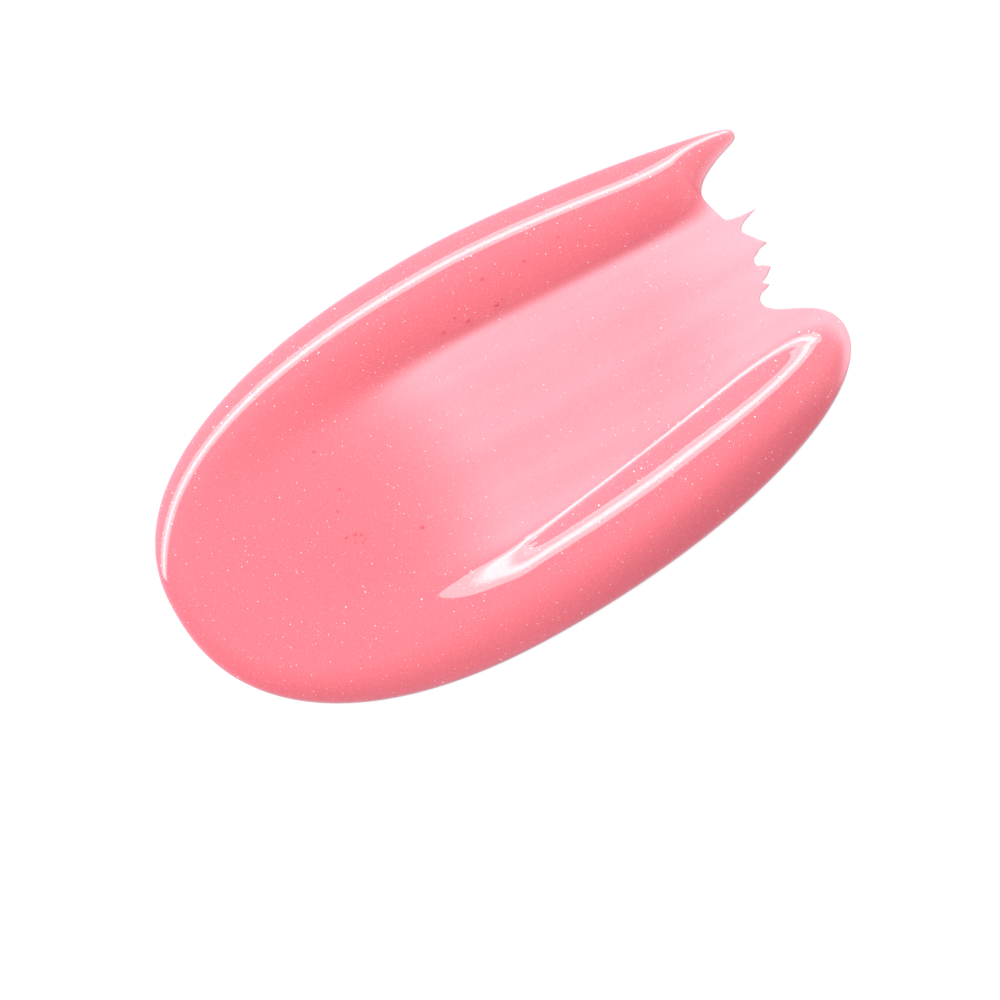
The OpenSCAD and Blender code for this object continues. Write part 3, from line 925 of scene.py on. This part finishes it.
def gel_colour(build, place):
    """Colour of the gel by its depth below a place on its surface, paler where it is thin, and deeper on
    steep sides, partly as painted shade.
    """
    height = build.add("ShaderNodeSeparateXYZ", {0: place}).outputs["Z"]
    depth = build.math("MAXIMUM", height, RIM_THICKNESS * MM)
    seen_through = build.math("EXPONENT", build.math("MULTIPLY", depth, -1 / (FADE_THICKNESS * MM)))
    # Steep sides take a deeper colour, partly painted shade
    body = build.colour_mix(steepness(build), THICK_GLOSS, STEEP_GLOSS_AND_SHADE)
    return build.colour_mix(seen_through, body, THIN_GLOSS)


def wet_coat(shader, roughness):
    """Clear wet surface over a matt body."""
    shader.inputs["Roughness"].default_value = GEL_ROUGHNESS
    shader.inputs["Specular IOR Level"].default_value = 0.0
    shader.inputs["Coat Weight"].default_value = 1.0
    shader.inputs["Coat Roughness"].default_value = roughness
    shader.inputs["Coat IOR"].default_value = COAT_IOR


def pearl_dust(build, place):
    """How strongly a faint speck of pearl shows at a place: 0 between the specks."""
    cells = build.add("ShaderNodeTexVoronoi", {"Vector": place, "Scale": DUST_SCALE}).outputs
    in_speck = build.math("LESS_THAN", cells["Distance"], DUST_RADIUS)
    chance = build.add("ShaderNodeSeparateColor", {0: cells["Color"]}).outputs["Red"]
    strength = build.math("MULTIPLY", build.math("MULTIPLY", chance, chance), DUST_STRENGTH)
    return build.math("MULTIPLY", in_speck, strength)


def gloss_finish():
    """Wet gel that pales where it is thin, with a fine pearl mottle."""
    material, build, shader = finish_material("wet_gloss")
    place = build.add("ShaderNodeTexCoord").outputs["Object"]
    mottle = build.noise(place, MOTTLE_SCALE, MOTTLE_DETAIL)
    lift = build.math("MULTIPLY_ADD", mottle, MOTTLE_STRENGTH, 1.0)
    pearled = build.add("ShaderNodeMix", {"Factor": 1.0}, data_type="RGBA", blend_type="MULTIPLY")
    build.feed(pearled.inputs["A"], gel_colour(build, place))
    build.feed(pearled.inputs["B"], lift)
    dusted = build.colour_mix(pearl_dust(build, place), pearled.outputs["Result"], PEARL)
    build.feed(shader.inputs["Base Color"], dusted)
    wet_coat(shader, GLOSS_COAT_ROUGHNESS)
    return material


def pearl_finish():
    """Platelets in the gel, from the gel's colour, with its painted shade on steep sides, to bright pearl.
    """
    material, build, shader = finish_material("pearl_platelet")
    place = build.add("ShaderNodeTexCoord").outputs["Object"]
    tone = build.add("ShaderNodeAttribute", attribute_name="pearl_tone").outputs["Fac"]
    shine = build.math("MULTIPLY_ADD", build.math("POWER", tone, SHINE_POWER), SHINE_GAIN, LEAST_SHINE)
    build.feed(shader.inputs["Base Color"], build.colour_mix(shine, gel_colour(build, place), PEARL))
    wet_coat(shader, PEARL_COAT_ROUGHNESS)
    shader.inputs["Metallic"].default_value = PEARL_METALLIC
    return material


def bubble_finish():
    """Gel painted darker over a bubble as painted shade, and a paler rim round it as a painted highlight.
    """
    material, build, shader = finish_material("gloss_over_air")
    ring = build.add("ShaderNodeAttribute", attribute_name="bubble_ring").outputs["Fac"]
    # Dome painted darker as shade, ring painted paler as a highlight
    build.feed(shader.inputs["Base Color"], build.colour_mix(ring, BUBBLE_DOME_SHADE, BUBBLE_RING_HIGHLIGHT))
    wet_coat(shader, BUBBLE_COAT_ROUGHNESS)
    shader.inputs["Coat Weight"].default_value = BUBBLE_COAT_WEIGHT
    return material


# Stage, light and camera

WHITE = (1, 1, 1, 1)
# Floor: half its width, how far it lies below the smear, its tone, and the white that it shows by itself
FLOOR_HALF = 1.5
FLOOR_DROP = 0.01 * MM
FLOOR_TONE = (0.5, 0.5, 0.5, 1)
FLOOR_GLOW = 0.62
# Strength of the light that the surroundings cast
WORLD_LEVEL = 0.64


def seen_directly(build):
    """1 for what the camera sees, also in a reflection or through something clear, and 0 for light."""
    path = build.add("ShaderNodeLightPath").outputs
    seen = build.math("ADD", path["Is Camera Ray"], path["Is Glossy Ray"], clamp=True)
    return build.math("ADD", seen, path["Is Transmission Ray"], clamp=True)


def white_floor():
    """Plain white surface that shows as white and keeps the shadow."""
    half, level = FLOOR_HALF, -FLOOR_DROP
    corners = [(-half, -half, level), (half, -half, level), (half, half, level), (-half, half, level)]
    mesh = bpy.data.meshes.new("floor")
    mesh.from_pydata(corners, [], [(0, 1, 2, 3)])
    floor = bpy.data.objects.new("floor", mesh)
    bpy.context.scene.collection.objects.link(floor)
    material, build, shader = finish_material("white_surface")
    shader.inputs["Base Color"].default_value = FLOOR_TONE
    shader.inputs["Roughness"].default_value = 1.0
    shader.inputs["Specular IOR Level"].default_value = 0.0
    shader.inputs["Emission Color"].default_value = WHITE
    shown = build.math("MULTIPLY", seen_directly(build), FLOOR_GLOW)
    build.feed(shader.inputs["Emission Strength"], shown)
    mesh.materials.append(material)


def white_world():
    """Even white surroundings, which show as plain white."""
    world = bpy.data.worlds.new("studio")
    bpy.context.scene.world = world
    world.use_nodes = True
    build = Nodes(world.node_tree)
    background = world.node_tree.nodes["Background"]
    background.inputs["Color"].default_value = WHITE
    strength = build.math("MAXIMUM", seen_directly(build), WORLD_LEVEL)
    build.feed(background.inputs["Strength"], strength)


LIGHT_DISTANCE = 0.3
LIGHT_COLOUR = (1.0, 0.99, 0.94)
# Watts of a panel for each square metre of it and each unit of radiance
PANEL_WATTS = 4
# Gap between panels that lie in front of each other
PANEL_GAP = 0.002
# Headings of the lights, as turns from +X: on the stroke's left side, and beyond its torn end
LEFT_HEADING = math.radians(90)
END_HEADING = 0
# Strip lights along the stroke, on its left side: their angle from straight above, their length, and how
# far their middle lies towards the pool
STRIP_TILT = math.radians(46.5)
STRIP_LENGTH = 1.1
STRIP_SHIFT = 0.35
# Strip that lights the matt body of the gel
MATT_STRIP_WIDTH = 0.106
MATT_STRIP_RADIANCE = 4.4
# Highlight's strips, each in front of the last: width and radiance, which add up to a bright core
HIGHLIGHT_STEPS = [(0.112, 5.9), (0.05, 2.0), (0.036, 2.8), (0.022, 3.0)]
# Soft glow low on the left side
SIDE_GLOW_TILT = math.radians(70)
SIDE_GLOW_WIDTH = 0.17
SIDE_GLOW_RADIANCE = 1.1
# Soft glow beyond the torn end: panels of growing width and length, which add up towards their middle
END_GLOW_TILT = math.radians(55)
END_GLOW_STEPS = [(0.10, 0.15), (0.19, 0.29), (0.28, 0.43), (0.37, 0.57), (0.46, 0.71)]
END_GLOW_RADIANCE = 0.26


def panel_light(name, heading, tilt, size, radiance, shift=0.0, nearer=0.0, matt=False):
    """Panel that faces the smear, and either lights matt surfaces or shows in the gloss.

    Its heading is a turn from +X, its tilt is measured from straight above, and its size is given as
    width down the tilt and length across it.
    """
    lamp = bpy.data.lights.new(name, "AREA")
    lamp.shape = "RECTANGLE"
    lamp.size, lamp.size_y = size
    lamp.energy = PANEL_WATTS * lamp.size * lamp.size_y * radiance
    lamp.color = LIGHT_COLOUR
    light = bpy.data.objects.new(name, lamp)
    facing = Euler((0, tilt, heading))
    light.rotation_euler = facing
    light.location = Vector((0, shift, LIGHT_DISTANCE - nearer))
    light.location.rotate(facing)
    light.visible_diffuse = matt
    light.visible_glossy = not matt
    bpy.context.scene.collection.objects.link(light)


def strip_light(name, tilt, width, radiance, nearer=0.0, matt=False):
    """Long panel on the stroke's left side."""
    panel_light(name, LEFT_HEADING, tilt, (width, STRIP_LENGTH), radiance, STRIP_SHIFT, nearer, matt)


def light_smear():
    """All lights: the strip for the matt gel, the long highlight's strips, and the two soft glows."""
    strip_light("soft_panel", STRIP_TILT, MATT_STRIP_WIDTH, MATT_STRIP_RADIANCE, matt=True)
    for k, (width, radiance) in enumerate(HIGHLIGHT_STEPS, start=1):
        strip_light(f"highlight_{k}", STRIP_TILT, width, radiance, nearer=PANEL_GAP * k)
    strip_light("side_glow", SIDE_GLOW_TILT, SIDE_GLOW_WIDTH, SIDE_GLOW_RADIANCE)
    for k, size in enumerate(END_GLOW_STEPS, start=1):
        panel_light(f"end_glow_{k}", END_HEADING, END_GLOW_TILT, size, END_GLOW_RADIANCE,
                    nearer=PANEL_GAP * k)


# Photograph's frame, in millimetres: its width, its middle, and the stroke's turn in it
VIEW_WIDTH = 55.25
VIEW_MIDDLE = (-1.325, -3.066)
STROKE_TURN = math.radians(30)
# Camera's height and nearest sight, in metres, and its sensor, in millimetres
CAMERA_HEIGHT = 0.5
CAMERA_NEAREST = 0.01
SENSOR_WIDTH = 36


def camera_above():
    """Camera that looks straight down."""
    lens = bpy.data.cameras.new("camera")
    lens.sensor_width = SENSOR_WIDTH
    lens.lens = SENSOR_WIDTH * CAMERA_HEIGHT / (VIEW_WIDTH * MM)
    lens.clip_start = CAMERA_NEAREST
    camera = bpy.data.objects.new("camera", lens)
    camera.location = (VIEW_MIDDLE[0] * MM, VIEW_MIDDLE[1] * MM, CAMERA_HEIGHT)
    camera.rotation_euler = (0, 0, -STROKE_TURN)
    bpy.context.scene.collection.objects.link(camera)
    bpy.context.scene.camera = camera


camera_above()
white_floor()
white_world()
light_smear()
bpy.context.scene.view_settings.view_transform = "Standard"

gloss = raise_gloss(plan_mesh(Rails()), gloss_finish())
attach(gloss, BODY)
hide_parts("wiped_film", "gloss_bead")

sparkle = scatter_pearl(gloss, pearl_finish())
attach(sparkle, BODY)
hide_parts("pearl_flecks")

bubbles = trap_bubbles(gloss, bubble_finish())
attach(bubbles, BODY)
